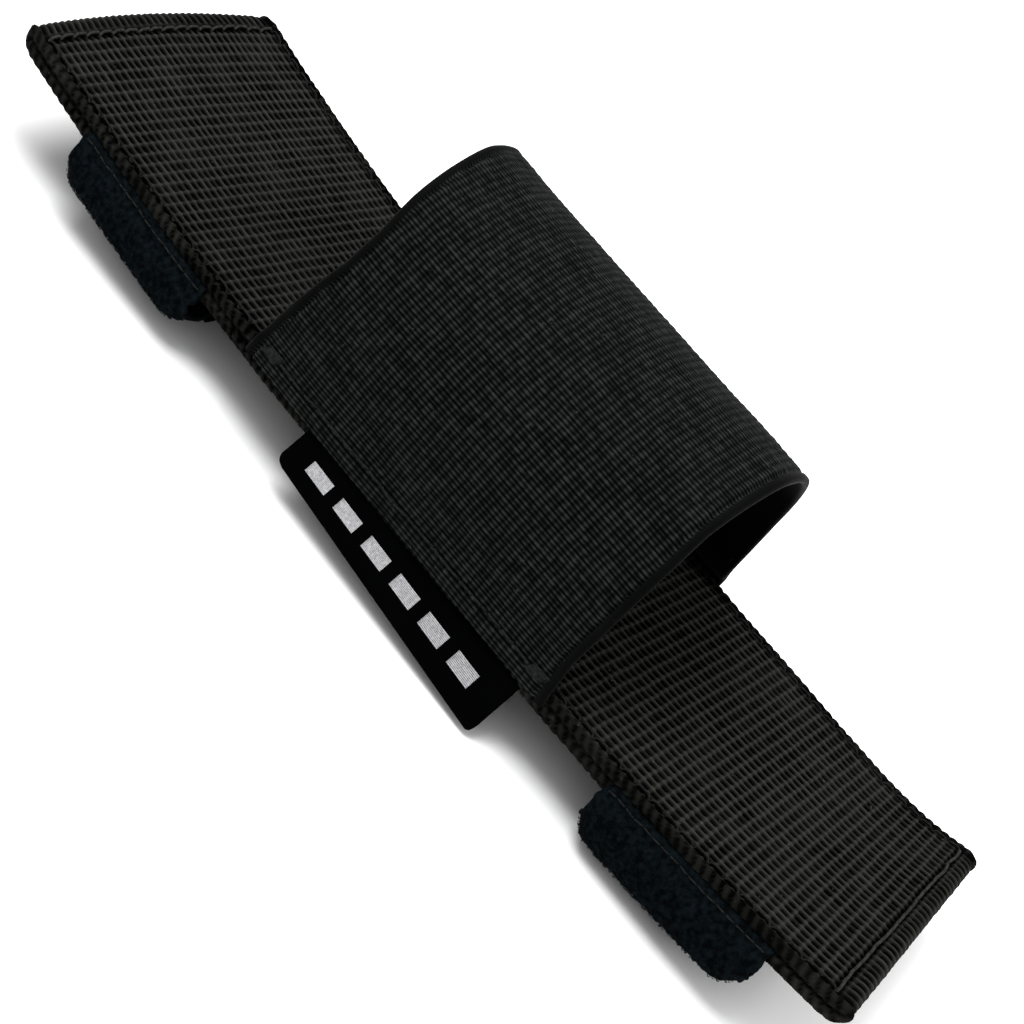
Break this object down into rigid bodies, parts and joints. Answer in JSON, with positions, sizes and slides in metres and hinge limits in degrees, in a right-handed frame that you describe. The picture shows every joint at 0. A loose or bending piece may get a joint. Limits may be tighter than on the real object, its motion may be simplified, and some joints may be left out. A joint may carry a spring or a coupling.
{
  "type": "tourniquet holder",
  "caption": "Elastic sleeve on a stitched webbing strap that holds a folded tourniquet, with hook-and-loop belt loops that open.",
  "frame": {"origin": "middle of the strap's underside, at half its length and half its width", "axes": "+X along the strap, +Y across it towards the back edge away from the tag, +Z out of the face that carries the sleeve"},
  "size_m": [0.167, 0.0558, 0.0428],
  "materials": {
    "webbing": "heavy black nylon webbing, coarse rib weave",
    "elastic": "black woven elastic with fine ribs",
    "thread": "black bonded nylon thread",
    "tag": "smooth black woven satin tag",
    "loop_tape": "black pile side of hook and loop tape",
    "hook_tape": "black hook side of hook and loop tape",
    "carrier_tape": "black thin nylon tape",
    "base_tape": "black thin nylon tape"
  },
  "bodies": {
    "strap": {"face_webbing": "webbing", "back_webbing": "webbing", "front_edge_stitching": "thread", "back_edge_stitching": "thread", "left_end_stitching": "thread", "right_end_stitching": "thread", "elastic_sleeve": "elastic", "front_sleeve_seam": "thread", "back_sleeve_seam": "thread", "sleeve_bartacks": "thread", "left_tape_base": "base_tape", "left_base_stitching": "thread", "right_tape_base": "base_tape", "right_base_stitching": "thread"},
    "tag": {"side_tag": "tag"},
    "left_loop": {"left_loop_flap": "loop_tape", "left_loop_flap_stitching": "thread"},
    "left_hook": {"left_hook_flap": "carrier_tape", "left_hook_tape": "hook_tape", "left_hook_stitching": "thread"},
    "right_loop": {"right_loop_flap": "loop_tape", "right_loop_flap_stitching": "thread"},
    "right_hook": {"right_hook_flap": "carrier_tape", "right_hook_tape": "hook_tape", "right_hook_stitching": "thread"}
  },
  "joints": [
    {"name": "tag_bend", "type": "hinge", "parent": "strap", "child": "tag", "pos_m": [0.0068, -0.02535, 0.00145], "axis": [1, 0, 0], "range_deg": [-55, 25]},
    {"name": "left_hook_open", "type": "hinge", "parent": "strap", "child": "left_hook", "pos_m": [-0.0525, 0.02565, 0.0012], "axis": [1, 0, 0], "range_deg": [0, 135]},
    {"name": "left_loop_open", "type": "hinge", "parent": "strap", "child": "left_loop", "pos_m": [-0.0525, -0.0259, 0.0012], "axis": [1, 0, 0], "range_deg": [-45, 0]},
    {"name": "right_hook_open", "type": "hinge", "parent": "strap", "child": "right_hook", "pos_m": [0.0585, 0.02565, 0.0012], "axis": [1, 0, 0], "range_deg": [0, 135]},
    {"name": "right_loop_open", "type": "hinge", "parent": "strap", "child": "right_loop", "pos_m": [0.0585, -0.0259, 0.0012], "axis": [1, 0, 0], "range_deg": [-45, 0]}
  ],
  "couplings": [
    {"joint": "left_loop_open", "follows": "left_hook_open", "ratio": -0.3},
    {"joint": "right_loop_open", "follows": "right_hook_open", "ratio": -0.3}
  ]
}
